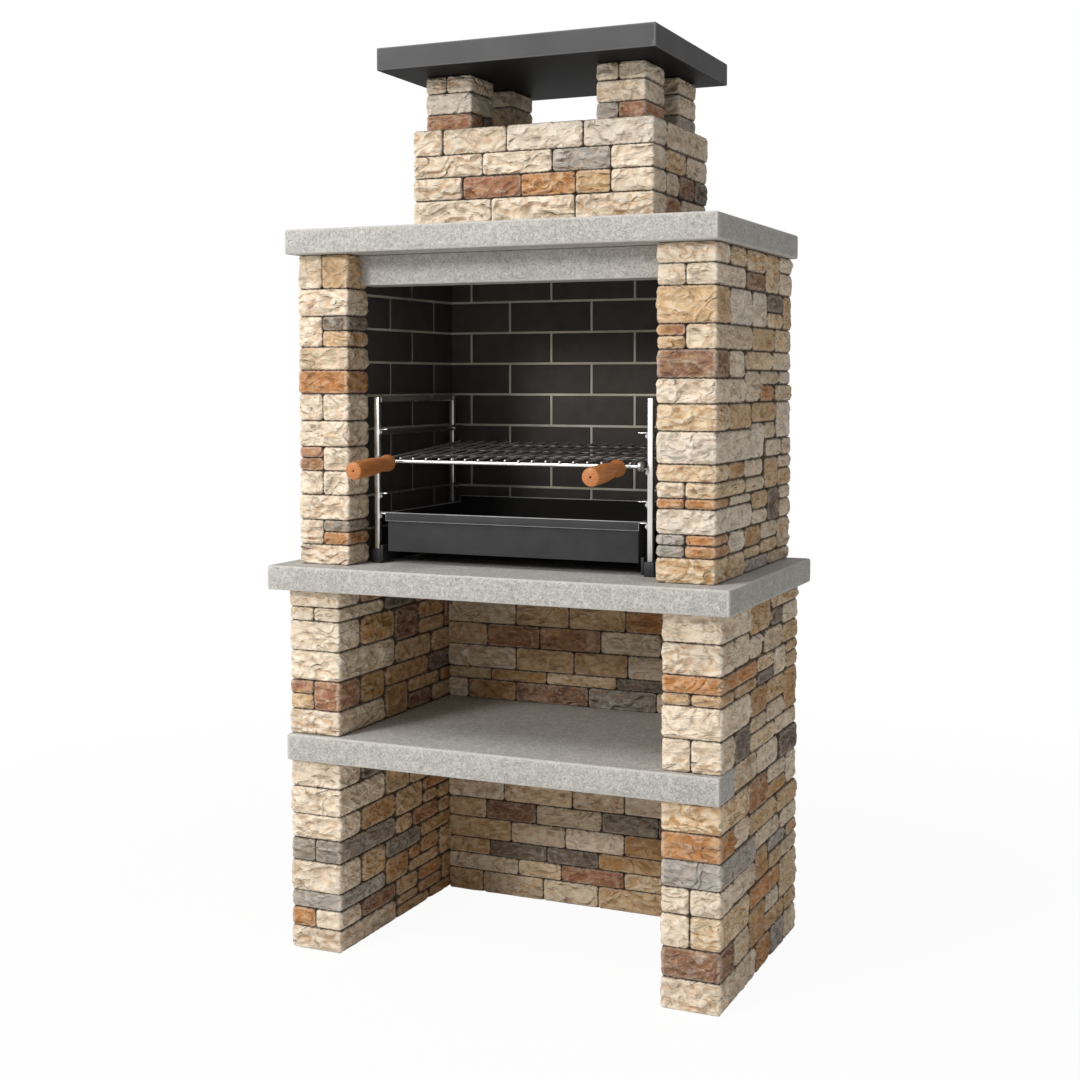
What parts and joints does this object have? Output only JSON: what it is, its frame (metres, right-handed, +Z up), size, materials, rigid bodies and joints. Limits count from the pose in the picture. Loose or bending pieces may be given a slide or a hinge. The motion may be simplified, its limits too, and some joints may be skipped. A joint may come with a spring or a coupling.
{
  "type": "masonry barbecue",
  "caption": "Free-standing split-stone barbecue with concrete worktop and shelf, brick-lined hearth, capped chimney, and a pull-out grid and ember pan.",
  "frame": {"origin": "on the ground in the middle of the whole outline, grips included", "axes": "+X to the user's right, +Y to the rear, +Z up"},
  "size_m": [1.104, 0.703, 2.08],
  "materials": {
    "split_stone": "split face",
    "concrete": "cast, matt",
    "coated_concrete": "smooth anthracite coating",
    "firebrick": "matt, dark",
    "mortar": "struck flush",
    "stainless_steel": "brushed",
    "black_steel": "matt heat-proof paint",
    "wood": "oiled"
  },
  "bodies": {
    "masonry": {"base_back_wall": "split_stone", "base_left_wall": "split_stone", "base_right_wall": "split_stone", "chimney_cap": "coated_concrete", "chimney_stack": "split_stone", "hearth_back_wall": "split_stone", "hearth_left_wall": "split_stone", "hearth_right_wall": "split_stone", "hood_slab": "concrete", "left_frame_bolts": "stainless_steel", "left_front_foot": "black_steel", "left_front_upright": "stainless_steel", "left_grid_rung": "stainless_steel", "left_lower_rung": "stainless_steel", "left_pan_runner": "stainless_steel", "left_rear_foot": "black_steel", "left_rear_upright": "stainless_steel", "left_side_plate": "black_steel", "left_top_rail": "stainless_steel", "left_upper_rung": "stainless_steel", "lining_back_bricks": "firebrick", "lining_back_mortar": "mortar", "lining_left_bricks": "firebrick", "lining_left_mortar": "mortar", "lining_right_bricks": "firebrick", "lining_right_mortar": "mortar", "lintel_beam": "concrete", "post_front_left": "split_stone", "post_front_right": "split_stone", "post_rear_left": "split_stone", "post_rear_right": "split_stone", "right_frame_bolts": "stainless_steel", "right_front_foot": "black_steel", "right_front_upright": "stainless_steel", "right_grid_rung": "stainless_steel", "right_lower_rung": "stainless_steel", "right_pan_runner": "stainless_steel", "right_rear_foot": "black_steel", "right_rear_upright": "stainless_steel", "right_side_plate": "black_steel", "right_top_rail": "stainless_steel", "right_upper_rung": "stainless_steel", "shelf_slab": "concrete", "worktop_slab": "concrete"},
    "grid": {"grid_frame": "stainless_steel", "grid_wires": "stainless_steel", "left_grid_collar": "stainless_steel", "left_grip": "wood", "left_handle_rod": "stainless_steel", "right_grid_collar": "stainless_steel", "right_grip": "wood", "right_handle_rod": "stainless_steel"},
    "pan": {"ember_pan": "black_steel"}
  },
  "joints": [
    {"name": "grid_slide", "type": "slide", "parent": "masonry", "child": "grid", "axis": [0, -1, 0], "range_m": [0, 0.55]},
    {"name": "pan_slide", "type": "slide", "parent": "masonry", "child": "pan", "axis": [0, -1, 0], "range_m": [0, 0.55]}
  ]
}
